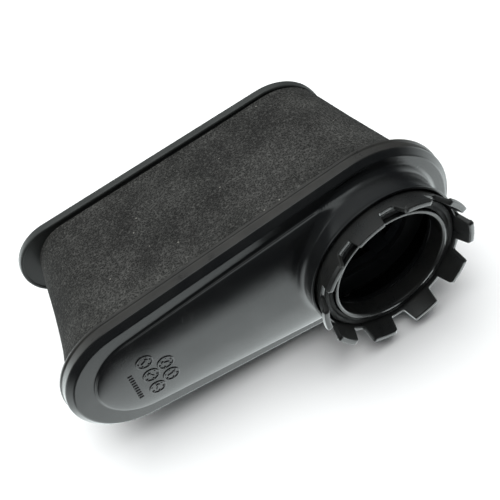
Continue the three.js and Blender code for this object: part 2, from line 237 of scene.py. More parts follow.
def zip_faces(first, columns, flip=False):
    """Faces that close a ring of points symmetric about its first: point j is joined to point -j.

    Returns quads for all strips but the two end ones, which are triangles.
    """
    j = np.arange(1, columns // 2 - 1)
    quads = np.stack([j, j + 1, columns - j - 1, columns - j], axis=-1)
    half = columns // 2
    ends = np.array([[0, 1, columns - 1], [half, half + 1, half - 1]])
    if flip:
        quads, ends = quads[:, ::-1], ends[:, ::-1]
    return quads + first, ends + first


def new_piece(name, points, quads, triangles=None, smooth=True):
    """A mesh object from an array of points and arrays of quads and triangles."""
    triangles = np.zeros((0, 3), int) if triangles is None else np.asarray(triangles)
    corners = np.concatenate([quads.ravel(), triangles.ravel()]).astype(np.int32)
    totals = np.concatenate([np.full(len(quads), 4), np.full(len(triangles), 3)]).astype(np.int32)
    starts = np.concatenate([[0], np.cumsum(totals)[:-1]]).astype(np.int32)
    mesh = bpy.data.meshes.new(name)
    mesh.vertices.add(len(points))
    mesh.vertices.foreach_set("co", np.ascontiguousarray(points, dtype=np.float32).ravel())
    mesh.loops.add(len(corners))
    mesh.loops.foreach_set("vertex_index", corners)
    mesh.polygons.add(len(totals))
    mesh.polygons.foreach_set("loop_start", starts)
    mesh.polygons.foreach_set("loop_total", totals)
    mesh.polygons.foreach_set("use_smooth", np.full(len(totals), smooth))
    mesh.update(calc_edges=True)
    mesh.validate()
    made = bpy.data.objects.new(name, mesh)
    bpy.context.scene.collection.objects.link(made)
    return made


def softened(points, radii, steps=6, support=0.25, closed=False):
    """A path through the points whose corners are quadratic curves of the given reach.

    Each corner is left on both sides at its radius, so the curve is
    (1-t)^2 before + 2t(1-t) corner + t^2 after. A support point follows each curve on the straight.
    """
    points = np.asarray(points, float)
    path = []
    for i, (corner, radius) in enumerate(zip(points, radii)):
        if (not closed and i in (0, len(points) - 1)) or radius == 0:
            path.append(corner[None])
            continue
        back, ahead = points[i - 1] - corner, points[(i + 1) % len(points)] - corner
        to_back, to_ahead = np.linalg.norm(back), np.linalg.norm(ahead)
        start = min(radius, 0.49 * to_back)
        end = min(radius, 0.49 * to_ahead)
        before, after = corner + back / to_back * start, corner + ahead / to_ahead * end
        t = np.linspace(0, 1, steps + 1)[:, None]
        curve = (1 - t) ** 2 * before + 2 * t * (1 - t) * corner + t ** 2 * after
        reach = min(support * radius, 0.04 * to_back), min(support * radius, 0.04 * to_ahead)
        path += [(before + back / to_back * reach[0])[None], curve,
                 (after + ahead / to_ahead * reach[1])[None]]
    return np.concatenate(path)


def spread(path, step):
    """The path with extra points, so that none of its straights is longer than the step."""
    spans = np.linalg.norm(np.diff(path, axis=0), axis=1)
    pieces = np.maximum(1, np.ceil(spans / step)).astype(int)
    index = np.repeat(np.arange(len(spans)), pieces)
    inside = np.arange(pieces.sum()) - np.repeat(np.cumsum(pieces) - pieces, pieces)
    share = (inside / pieces[index])[:, None]
    return np.concatenate([path[index] * (1 - share) + path[index + 1] * share, path[-1:]])


# ---- Plans ---------------------------------------------------------------------------------------

def oval(length_, narrow, wide, shift=0.0):
    """Two end circles, narrow one on the left, as [left centre, its radius, right centre, its radius]."""
    return np.array([shift - length_ / 2 + narrow, narrow, shift + length_ / 2 - wide, wide])


def grown(plan, distance):
    """The plan moved outward by a distance."""
    return plan + distance * np.array([0, 1, 0, 1])


def oval_distance(plan, x, y):
    """Distance to the edge of an oval plan, negative inside.

    The tangents lean by the arcsine of the radii's difference over the centres' distance. A point
    that projects before the left tangent point is measured to the left circle, one past the right
    tangent point to the right circle, and any other to the tangent line.
    """
    left, narrow, right, wide = plan
    reach = right - left
    lean = (narrow - wide) / reach
    rise = math.sqrt(1 - lean * lean)
    along, side = x - left, np.abs(y)
    place = rise * along - lean * side
    by_left = np.hypot(along, side) - narrow
    by_right = np.hypot(along - reach, side) - wide
    by_line = rise * side + lean * along - narrow
    return np.where(place < 0, by_left, np.where(place > rise * reach, by_right, by_line))


def oval_reach(plan, centre, angle):
    """Distance from a point on the axis to the plan's edge along each angle, by halving an interval."""
    low, high = np.zeros_like(angle), np.full_like(angle, 0.4)
    for _ in range(40):
        middle = (low + high) / 2
        outside = oval_distance(plan, centre + middle * np.cos(angle), middle * np.sin(angle)) > 0
        low, high = np.where(outside, low, middle), np.where(outside, middle, high)
    return (low + high) / 2


def oval_points(plan, share):
    """Points and outward normals round a plan, at shares of its girth from its right-most point.

    The girth is two tangents and two arcs: the arc's angle on the wide end is twice the arccosine of
    the radii's difference over the centres' distance, and the narrow end has the rest of the turn.
    """
    left, narrow, right, wide = plan
    turn = np.arccos((narrow - wide) / (right - left))
    side = np.sqrt((right - left) ** 2 - (wide - narrow) ** 2)
    first = turn * wide
    second = first + side
    third = second + 2 * (np.pi - turn) * narrow
    fourth = third + side
    along = share * (fourth + first)
    zones = [along < first, along < second, along < third, along < fourth]
    zero = 0 * along
    angle = np.select(
        zones, [along / wide, zero + turn, turn + (along - second) / narrow, zero - turn],
        (along - fourth) / wide - turn,
    )
    slip = np.select(zones, [zero, along - first, zero, along - fourth], zero)
    at_right = zones[1] | ~zones[3]
    centre, radius = np.where(at_right | zones[0], right, left), np.where(at_right, wide, narrow)
    at_left_line = zones[3] & ~zones[2]
    centre = np.where(at_left_line, right, centre)
    radius = np.where(at_left_line, wide, radius)
    nx, ny = np.cos(angle), np.sin(angle)
    return centre + radius * nx - slip * ny, radius * ny + slip * nx, nx, ny


def outer_edge():
    """Where the cover's outer edge lies along the frame's Y, a skirt's height before its foot."""
    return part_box("duct_cover")[1].y - bpy.context.scene.filter_cover.skirt


def to_frame(x, y, z):
    """Points from the filter's own axes, z out of the neck, to the frame: X stays, Y is -z, Z is y.

    The filter's z starts at the cover's outer edge, and its y at the height of the neck's axis.
    """
    seal_low, seal_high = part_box("neck_seal")
    lift = (seal_low.z + seal_high.z) / 2
    points = np.stack(np.broadcast_arrays(x, outer_edge() - z, y + lift), axis=-1)
    return points.reshape(-1, 3)


def loft(first, second, profile, columns, swell=None):
    """Points of a stack of ovals, one row for each profile row (inset, height, mix).

    A row's plan is (1-mix) first + mix second, shrunk by the inset. swell(share, height, inset)
    gives how far points then move outward. Returns x, y, z arrays of rows by columns.
    """
    inset, height, mix = profile.T[:, :, None]
    share = np.arange(columns)[None] / columns
    plan = [(1 - mix) * a + mix * b for a, b in zip(first, second)]
    x, y, nx, ny = oval_points(plan, share)
    out = -inset if swell is None else swell(share, height, inset) - inset
    return x + nx * out, y + ny * out, height + 0 * x


# ---- Materials -----------------------------------------------------------------------------------

def srgb(code):
    """Linear colour from an sRGB hex code: below 0.04045 divide by 12.92, else the 2.4 power."""
    channels = np.array([int(code[i:i + 2], 16) for i in (1, 3, 5)]) / 255
    linear = np.where(channels <= 0.04045, channels / 12.92, ((channels + 0.055) / 1.055) ** 2.4)
    return (*linear.tolist(), 1.0)


def node(tree, kind, inputs=None, **settings):
    """Adds a node, sets its attributes, and sets its sockets to values or links them to outputs."""
    made = tree.nodes.new(kind)
    for key, value in settings.items():
        setattr(made, key, value)
    for key, value in (inputs or {}).items():
        if isinstance(value, bpy.types.NodeSocket):
            tree.links.new(value, made.inputs[key])
        else:
            made.inputs[key].default_value = value
    return made


def new_material(name, **shader):
    """A material with one Principled shader; returns it with its tree, shader and Object coordinates."""
    made = bpy.data.materials.new(name)
    made.use_nodes = True
    tree = made.node_tree
    tree.nodes.clear()
    bsdf = node(tree, "ShaderNodeBsdfPrincipled", shader)
    node(tree, "ShaderNodeOutputMaterial", {"Surface": bsdf.outputs["BSDF"]})
    place = node(tree, "ShaderNodeTexCoord").outputs["Object"]
    return made, tree, bsdf, place


def noise(tree, place, size, detail=3.0, roughness=0.55, output=0):
    """Noise whose features measure about the given size in metres."""
    return node(
        tree, "ShaderNodeTexNoise",
        {"Vector": place, "Scale": 1 / size, "Detail": detail, "Roughness": roughness},
    ).outputs[output]


def ranged(tree, value, low, high, to_low, to_high):
    """A value mapped from low..high to to_low..to_high, clamped."""
    return node(
        tree, "ShaderNodeMapRange",
        {"Value": value, "From Min": low, "From Max": high, "To Min": to_low, "To Max": to_high},
    ).outputs[0]


def mixed(tree, factor, first, second, blend="MIX"):
    """Two colours mixed by a factor."""
    return node(
        tree, "ShaderNodeMix", {0: factor, 6: first, 7: second}, data_type="RGBA", blend_type=blend,
    ).outputs[2]


def bumped(tree, height, distance, strength=1.0, normal=None):
    """A normal bumped by a height, which is scaled to a distance in metres."""
    inputs = {"Height": height, "Distance": distance, "Strength": strength}
    if normal is not None:
        inputs["Normal"] = normal
    return node(tree, "ShaderNodeBump", inputs).outputs[0]


def moulded_plastic(name, colour, pale, roughness, grain, lit_skirt_from=None):
    """Injection-moulded plastic: the fine grain breaks up reflections, the blotches are flow marks.

    Past a place along Y the surface is duller and, in soft patches, painted paler: painted light for the
    overhead light that a cover's skirt reflects.
    """
    made, tree, bsdf, place = new_material(name, IOR=1.49)
    blotch = noise(tree, place, 14 * MM, 4)
    fine = noise(tree, place, 0.35 * MM, 2)
    dust = noise(tree, place, 1.1 * MM, 6, 0.7)
    shade = mixed(tree, ranged(tree, blotch, 0.35, 0.7, 0, 1), srgb(colour), srgb(pale))
    specks = ranged(tree, dust, 0.68, 0.74, 0, 0.35)
    tone = mixed(tree, specks, shade, srgb("#4a4945"))
    gloss = ranged(tree, blotch, 0.3, 0.75, roughness - 0.03, roughness + 0.05)
    if lit_skirt_from is not None:
        depth = node(tree, "ShaderNodeSeparateXYZ", {0: place}).outputs[1]
        lit_skirt_mask = ranged(tree, depth, lit_skirt_from - 0.3 * MM, lit_skirt_from + 0.6 * MM, 0, 1)
        patchy_lit_skirt = node(
            tree, "ShaderNodeMath", {0: lit_skirt_mask, 1: ranged(tree, blotch, 0.3, 0.7, 0.55, 1)},
            operation="MULTIPLY",
        ).outputs[0]
        # Painted light: the skirt's paler tone stands in for the overhead light it reflects; its roughness
        # is raised there too.
        tone = mixed(tree, patchy_lit_skirt, tone, srgb("#302f2d"))
        gloss = node(
            tree, "ShaderNodeMath", {0: patchy_lit_skirt, 1: 0.12, 2: gloss}, operation="MULTIPLY_ADD",
        ).outputs[0]
    rough = node(tree, "ShaderNodeMath", {0: gloss, 1: ranged(tree, fine, 0.3, 0.7, -0.03, 0.03)})
    tree.links.new(tone, bsdf.inputs["Base Color"])
    tree.links.new(rough.outputs[0], bsdf.inputs["Roughness"])
    slow = bumped(tree, noise(tree, place, 22 * MM, 1), 0.05 * MM, 0.5)
    tree.links.new(bumped(tree, fine, grain, 0.5, slow), bsdf.inputs["Normal"])
    return made


def open_cell_foam():
    """Open-cell polyurethane foam: the pores are pits darkened with painted shade, the raised clumps get a
    painted highlight, and a few pale flecks are stray fibres.
    """
    made, tree, bsdf, place = new_material("Open-cell polyurethane foam", Roughness=0.95, IOR=1.4)
    cells = node(
        tree, "ShaderNodeTexVoronoi", {"Vector": place, "Scale": 1 / (0.85 * MM), "Randomness": 1.0},
    )
    flecks = node(
        tree, "ShaderNodeTexVoronoi", {"Vector": place, "Scale": 1 / (9 * MM), "Randomness": 1.0},
    ).outputs["Distance"]
    lot = node(tree, "ShaderNodeSeparateColor", {0: cells.outputs["Color"]}).outputs[0]
    pore = ranged(tree, cells.outputs["Distance"], 0.1, 0.75, 0, 1)
    patch = noise(tree, place, 30 * MM, 4, 0.6)
    clump = noise(tree, place, 1.6 * MM, 4, 0.7)
    body = mixed(tree, ranged(tree, patch, 0.35, 0.65, 0, 1), srgb("#2a2a29"), srgb("#4c4c4a"))
    pored = mixed(tree, ranged(tree, lot, 0, 1, 0, 0.6), body, srgb("#20201f"))
    # Painted highlight: the raised clumps, which the bump below lifts, are painted lighter.
    painted_clump_highlight = mixed(tree, ranged(tree, clump, 0.48, 0.72, 0, 0.6), pored, srgb("#5c5c59"))
    # Painted shade: the pits of the pores are painted near black.
    painted_pore_shade = mixed(tree, pore, srgb("#151514"), painted_clump_highlight)
    speck = ranged(tree, flecks, 0.035, 0.05, 0.6, 0)
    tree.links.new(mixed(tree, speck, painted_pore_shade, srgb("#8f8d86")), bsdf.inputs["Base Color"])
    rise = bumped(tree, clump, 0.35 * MM, 0.6)
    tree.links.new(bumped(tree, pore, 0.3 * MM, 0.8, rise), bsdf.inputs["Normal"])
    return made


def moulded_rubber():
    """Compression-moulded nitrile rubber: matt, with a dusty bloom in soft patches."""
    made, tree, bsdf, place = new_material("Moulded nitrile rubber", IOR=1.52)
    bloom = noise(tree, place, 6 * MM, 5)
    fine = noise(tree, place, 0.3 * MM, 2)
    tone = mixed(tree, ranged(tree, bloom, 0.4, 0.7, 0, 1), srgb("#0e0e0e"), srgb("#171716"))
    tree.links.new(tone, bsdf.inputs["Base Color"])
    tree.links.new(ranged(tree, bloom, 0.3, 0.7, 0.62, 0.8), bsdf.inputs["Roughness"])
    tree.links.new(bumped(tree, fine, 0.02 * MM, 0.5), bsdf.inputs["Normal"])
    return made


def cast_polyurethane():
    """Cast polyurethane potting: a soft sheen with tiny burst bubbles, whose pits hold painted shade, and
    slow flow ripples.
    """
    made, tree, bsdf, place = new_material("Cast polyurethane", IOR=1.5)
    bubbles = node(
        tree, "ShaderNodeTexVoronoi", {"Vector": place, "Scale": 1 / (3.2 * MM), "Randomness": 1.0},
    ).outputs["Distance"]
    ripple = noise(tree, place, 11 * MM, 2)
    pit = ranged(tree, bubbles, 0.08, 0.14, 1, 0)
    tone = mixed(tree, ranged(tree, ripple, 0.35, 0.65, 0, 1), srgb("#2b2d2e"), srgb("#323435"))
    # Painted shade: the bubbles' pits are painted near black.
    tree.links.new(mixed(tree, pit, tone, srgb("#0b0b0a")), bsdf.inputs["Base Color"])
    tree.links.new(ranged(tree, ripple, 0.3, 0.7, 0.45, 0.62), bsdf.inputs["Roughness"])
    wavy = bumped(tree, ripple, 0.2 * MM, 0.6)
    sunk = ranged(tree, pit, 0, 1, 1, 0)
    tree.links.new(bumped(tree, sunk, 0.3 * MM, 0.8, wavy), bsdf.inputs["Normal"])
    return made


def filter_paper():
    """Resin-treated cellulose paper: long fibres mottle the colour and roughen the folds, and its dark grey
    tone is painted shade, as the paper lies deep inside the bore.
    """
    made, tree, bsdf, place = new_material("Resin-treated filter paper", Roughness=0.88, IOR=1.45)
    along = node(tree, "ShaderNodeMapping", {"Vector": place, "Scale": (1, 0.18, 1)}).outputs[0]
    fibre = noise(tree, along, 0.7 * MM, 4)
    mottle = noise(tree, place, 5 * MM, 4)
    # Painted shade: these dark grey tones stand in for the shade deep inside the bore.
    tone = mixed(tree, ranged(tree, mottle, 0.35, 0.65, 0, 1), srgb("#3b3833"), srgb("#302e2a"))
    dark = mixed(tree, ranged(tree, fibre, 0.42, 0.68, 0, 0.5), tone, srgb("#211f1c"))
    tree.links.new(dark, bsdf.inputs["Base Color"])
    tree.links.new(bumped(tree, fibre, 0.06 * MM, 0.7), bsdf.inputs["Normal"])
    return made


# ---- Cover ---------------------------------------------------------------------------------------

def neck_centre(cover):
    """The neck's axis, which stands a set distance inside the cover's wide end."""
    return cover.length / 2 - cover.neck_edge - cover.neck_radius


def duct_plan(cover):
    """The duct's plan: its tip circle, a land inside the narrow end, and the neck's circle."""
    left = -cover.length / 2 + cover.tip_land + cover.tip_radius
    return np.array([left, cover.tip_radius, neck_centre(cover), cover.neck_radius])


def duct_height(cover, x, y, inset=0.0):
    """Height of the duct above the land.

    With e the distance inside the plan, h the roof's height there, which climbs evenly from tip to
    neck, and f the foot fillet: nothing before e = -f, a quarter circle of radius f up to e = 0, then
    f + (h - f) (1 - (1 - e / w)^n)^(1/n), where w is the shoulder's width and n the dome's power.
    """
    plan = grown(duct_plan(cover), -inset)
    left, tip, right, wide = plan
    tip_end = left - tip
    share = np.clip((x - tip_end) / (right - wide - tip_end), 0, 1)
    roof = cover.tip_rise + (cover.neck_rise - cover.tip_rise) * share
    width = (tip + (wide - tip) * np.clip((x - left) / (right - left), 0, 1)) * cover.dome_share
    inside = -oval_distance(plan, x, y)
    foot = cover.foot_round
    before = np.clip(inside + foot, 0, foot)
    fillet = foot - np.sqrt(np.maximum(foot ** 2 - before ** 2, 0))
    rest = np.clip(1 - inside / width, 0, 1)
    rise = (1 - rest ** cover.dome) ** (1 / cover.dome)
    return fillet + np.where(inside > 0, (roof - foot) * rise, 0)


def cover_angles(plan, centre, columns):
    """Angles about the neck, half spread evenly by angle and half evenly along the plan's edge."""
    fine = np.linspace(0, 2 * np.pi, 4001)
    reach = oval_reach(plan, centre, fine)
    steps = np.hypot(np.diff(reach * np.cos(fine)), np.diff(reach * np.sin(fine)))
    edge = np.concatenate([[0], np.cumsum(steps)])
    share = (fine / fine[-1] + edge / edge[-1]) / 2
    return np.interp(np.arange(columns) / columns, share, fine)


def cover_rows(cover, angle):
    """Rows (radius, height) of the cover's closed grid, each an array over the angles.

    From the lip over the bevel, the land, the duct and the neck, down the bore and back underneath.
    """
    plan = oval(cover.length, cover.narrow_radius, cover.wide_radius)
    centre = neck_centre(cover)
    land = cover.bevel_height
    duct = duct_plan(cover)
    foot_radius = cover.neck_radius + cover.neck_fillet
    small, fine = 0.35 * MM, 0.3 * MM

    def at_inset(inset, height):
        return oval_reach(grown(plan, -inset), centre, angle), height + 0 * angle

    def on_top(radius, height=land, inset=0.0):
        x, y = centre + radius * np.cos(angle), radius * np.sin(angle)
        return radius, height + duct_height(cover, x, y, inset)

    lip = cover.lip_height - cover.skirt
    rim = softened(
        [
            (cover.wall, -cover.skirt), (-cover.lip_flare, -cover.skirt), (-cover.lip_flare, lip),
            (0, lip + cover.lip_flare), (0, 0), (cover.bevel_width, land),
            (cover.bevel_width + 3 * cover.edge_round, land),
        ],
        [0, small, small, small, cover.edge_round, cover.edge_round, 0],
    )
    rows = [at_inset(inset, height) for inset, height in spread(rim, 1.2 * MM)]

    fillet = cover.foot_round * np.sin(np.linspace(0, np.pi / 2, 8))
    turn = np.linspace(0, np.pi / 2, 18)[1:-1]
    width = cover.dome_share * duct[3]
    shoulder = width * (1 - np.cos(turn) ** (2 / cover.dome))
    insides = np.concatenate([[-1.6 * cover.foot_round], fillet - cover.foot_round, shoulder])
    deepest = 8 * MM
    insides = insides[insides < deepest]
    start = rows[-1][0]
    floors = foot_radius + np.linspace(1.2 * MM, 0.2 * MM, len(insides))
    steps = [
        np.maximum(oval_reach(grown(duct, -inside), centre, angle), floor)
        for inside, floor in zip(insides, floors)
    ]
    rows += [on_top(start + (steps[0] - start) * share) for share in (0.3, 0.65, 0.9)]
    rows += [on_top(step) for step in steps]
    rows += [
        on_top(steps[-1] + (foot_radius - steps[-1]) * share) for share in np.linspace(0, 1, 30)[1:]
    ]

    for bend in np.linspace(0, np.pi / 2, 12)[1:]:
        radius = foot_radius - cover.neck_fillet * np.sin(bend)
        radius, height = on_top(radius + 0 * angle)
        rows.append((radius, height + cover.neck_fillet * (1 - np.cos(bend))))
    radius, base = rows[-1]
    wall_top = cover.neck_height - cover.collar_height - 0.4 * MM
    rows += [(radius, base + (wall_top - base) * share) for share in (0.25, 0.5, 0.75, 0.95)]

    flared = cover.neck_radius + cover.collar_flare
    inner = cover.neck_radius - cover.neck_wall
    shelf = cover.neck_height - cover.shelf_depth
    collar = softened(
        [
            (cover.neck_radius, wall_top), (cover.neck_radius, wall_top + 0.4 * MM),
            (flared, wall_top + 1.1 * MM), (flared, cover.neck_height),
            (flared - cover.collar_lip, cover.neck_height),
            (inner, cover.neck_height - cover.collar_height), (inner, shelf), (cover.bore, shelf),
            (cover.bore, shelf - cover.shelf_wall), (inner, shelf - cover.shelf_wall),
        ],
        [0, 0.5 * MM, 0.5 * MM, fine, fine, 0.4 * MM, 0.5 * MM, 0.4 * MM, fine, 0],
    )
    rows += [(radius + 0 * angle, height + 0 * angle) for radius, height in spread(collar, 1.5 * MM)]

    slack = 0.2 * MM
    under = land - cover.wall - slack
    back = [inner, inner + 2 * MM, foot_radius]
    rows += [on_top(radius + 0 * angle, under, cover.wall) for radius in back]
    for inside in (8, 5, 3, 1.5, 0.6, 0.1, -0.2, -0.5, -0.9):
        reach = oval_reach(grown(duct, -cover.wall - inside * MM), centre, angle)
        floor = foot_radius + (9 - inside) * 0.08 * MM
        rows.append(on_top(np.maximum(reach, floor), under, cover.wall))
    rows += [at_inset(cover.wall + 0.8 * MM, under), at_inset(cover.wall, under - 0.8 * MM)]
    rows += [at_inset(cover.wall, under - 3 * MM)]
    return rows


class AIRFILTER_OT_cover(bpy.types.Operator):
    """Builds the cover as one closed grid in polar form about the neck: r from the plans, z(r, angle)"""

    bl_idname = "airfilter.cover"
    bl_label = "Cover"

    def execute(self, context):
        cover = context.scene.filter_cover
        plan = oval(cover.length, cover.narrow_radius, cover.wide_radius)
        centre = neck_centre(cover)
        angle = cover_angles(plan, centre, cover.columns)
        radius, height = (np.stack(rows) for rows in zip(*cover_rows(cover, angle)))
        points = to_frame(centre + radius * np.cos(angle), radius * np.sin(angle), height)
        made = new_piece("Cover", points, grid_faces(*radius.shape, wrap_rows=True))
        # The skirt, below the outer edge, is painted paler for the light it reflects.
        made.data.materials.append(moulded_plastic(
            "Moulded black polypropylene", "#141516", "#1a1b1b", 0.22, 0.012 * MM, outer_edge(),
        ))
        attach(made, "cartridge")
        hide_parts("duct_cover")
        return {"FINISHED"}


def raised_pads(cover, pads, half_length, half_width, height, columns=28):
    """Small rounded bars lying on the duct, one for each pad (x, y, turn, half length).

    Each bar is a stack of ovals with equal ends, turned and moved to its place, whose height is that
    of the duct below plus a rounded profile. Returns points, quads and triangles for all of them.
    """
    plan = oval(2 * half_length, half_width, half_width * 1.0001)
    profile = softened(
        [(0, -0.3 * MM, 0), (0, height, 0), (0.8 * half_width, height, 0)], [0, 0.7 * height, 0], 3,
    )
    x, y, z = loft(plan, plan, profile, columns)
    points, quads, triangles = [], [], []
    for px, py, turn, _ in pads:
        bx = px + x * math.cos(turn) - y * math.sin(turn)
        by = py + x * math.sin(turn) + y * math.cos(turn)
        start = len(points) * x.size
        points.append(to_frame(bx, by, z + cover.bevel_height + duct_height(cover, bx, by)))
        strip, ends = zip_faces(start + (len(x) - 1) * columns, columns)
        quads += [grid_faces(*x.shape, start=start), strip]
        triangles.append(ends)
    return np.concatenate(points), np.concatenate(quads), np.concatenate(triangles)


def ring_pads(radius, x, y, turn):
    """The inside of a ring, as pads: a pointer, the two barbs of its head, and six ticks."""
    pointer, head, edge = 0.52 * radius, 0.36 * radius, 0.78 * radius
    pads = [(x, y, turn, pointer)]
    for side in (-2.4, 2.4):
        tip = turn + side
        pads.append((
            x + pointer * math.cos(turn) + 0.5 * head * math.cos(tip),
            y + pointer * math.sin(turn) + 0.5 * head * math.sin(tip), tip, 0.5 * head,
        ))
    for tick in range(6):
        around = turn + (tick + 0.5) * math.pi / 3
        pads.append((x + edge * math.cos(around), y + edge * math.sin(around), around, 0.09 * radius))
    return pads


def raised_rings(cover, places, radius, half_width, height, columns=72):
    """Raised rings lying on the duct: a closed half-round section swept round each circle."""
    section = softened(
        [(half_width, -0.3 * MM), (half_width, height), (-half_width, height), (-half_width, -0.3 * MM)],
        [0, 0.7 * height, 0.7 * height, 0], 3,
    )
    turn = 2 * np.pi * np.arange(columns) / columns
    reach = radius + section[:, :1]
    points, quads = [], []
    for px, py in places:
        x, y = px + reach * np.cos(turn), py + reach * np.sin(turn)
        z = section[:, 1:] + cover.bevel_height + duct_height(cover, x, y)
        quads.append(grid_faces(*x.shape, wrap_rows=True, start=len(points) * x.size))
        points.append(to_frame(x, y, z))
    return np.concatenate(points), np.concatenate(quads)


class AIRFILTER_OT_marks(bpy.types.Operator):
    """Builds the plain moulding marks on the duct: rings with a pointer and ticks, and a row of bars"""

    bl_idname = "airfilter.marks"
    bl_label = "Moulding marks"

    def execute(self, context):
        cover, marks = context.scene.filter_cover, context.scene.filter_marks
        second = marks.column + marks.column_pitch
        rings = [(marks.column, step * marks.pitch) for step in (0.92, -0.09, -1.09)]
        rings += [(second, step * marks.pitch) for step in (0.2, -0.72)]
        turns = [0.5, 2.2, 1.1, 2.8, 0.1]
        pads = [
            pad for (x, y), turn in zip(rings, turns) for pad in ring_pads(marks.radius, x, y, turn)
        ]
        middle = (marks.bars - 1) / 2
        pads += [
            (marks.bar_place, (bar - middle) * marks.bar_pitch + marks.bar_shift, 0, marks.bar_length / 2)
            for bar in range(marks.bars)
        ]
        half = marks.line / 2
        points, quads = raised_rings(cover, rings, marks.radius, half, marks.height)
        triangles = np.zeros((0, 3), int)
        for reach in sorted({pad[3] for pad in pads}):
            chosen = [pad for pad in pads if pad[3] == reach]
            more, faces, ends = raised_pads(cover, chosen, max(reach, half * 1.01), half, marks.height)
            quads = np.concatenate([quads, faces + len(points)])
            triangles = np.concatenate([triangles, ends + len(points)])
            points = np.concatenate([points, more])
        made = new_piece("MouldingMarks", points, quads, triangles)
        made.data.materials.append(bpy.data.materials["Moulded black polypropylene"])
        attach(made, "cartridge")
        return {"FINISHED"}


# ---- Snap ring -----------------------------------------------------------------------------------

def clip_radius(clip, height):
    """Outside of the leaning wall at a height above the ring's foot."""
    share = np.clip((height - clip.straight) / (clip.height - clip.straight), 0, None)
    return clip.radius + clip.flare * share


def clip_wall(clip, height):
    """Thickness of the wall, which grows evenly from the channel's floor to the tips."""
    share = np.clip((height - clip.floor) / (clip.height - clip.floor), 0, 1)
    return clip.foot_wall + (clip.tip_wall - clip.foot_wall) * share


def clip_edge(clip):
    """The castellated edge unrolled at the tips' radius, as (arc length, height above the foot).

    One path for each tab, from the middle of the notch before it to the middle of the one after.
    """
    unrolled = clip.radius + clip.flare * 0.8
    pitch = 2 * np.pi * unrolled / clip.tabs
    low, high = clip.height - clip.notch, clip.height
    paths = []
    for tab in range(clip.tabs):
        corner = clip.plain_corner if tab in PLAIN_TABS else clip.corner
        path = softened(
            [
                (-pitch / 2, low), (-pitch / 2 + clip.notch_foot / 2, low),
                (-pitch / 2 + clip.notch_mouth / 2, high), (pitch / 2 - clip.notch_mouth / 2, high),
                (pitch / 2 - clip.notch_foot / 2, low), (pitch / 2, low),
            ],
            [0, clip.notch_corner, corner, corner, clip.notch_corner, 0], 7,
        )
        spans = np.diff(path, axis=0)
        longest = np.argsort(-np.hypot(*spans.T))[:5]
        shares = np.linspace(0, 1, 7)[1:-1]
        extra = [path[i] + spans[i] * share for i in longest for share in shares]
        added = np.repeat(longest, len(shares)) + np.tile(shares, len(longest))
        order = np.concatenate([np.arange(len(path)), added])
        path = np.concatenate([path, extra])[np.argsort(order)]
        path[:, 0] += tab * pitch
        paths.append(path[:-1])
    return np.concatenate(paths), unrolled


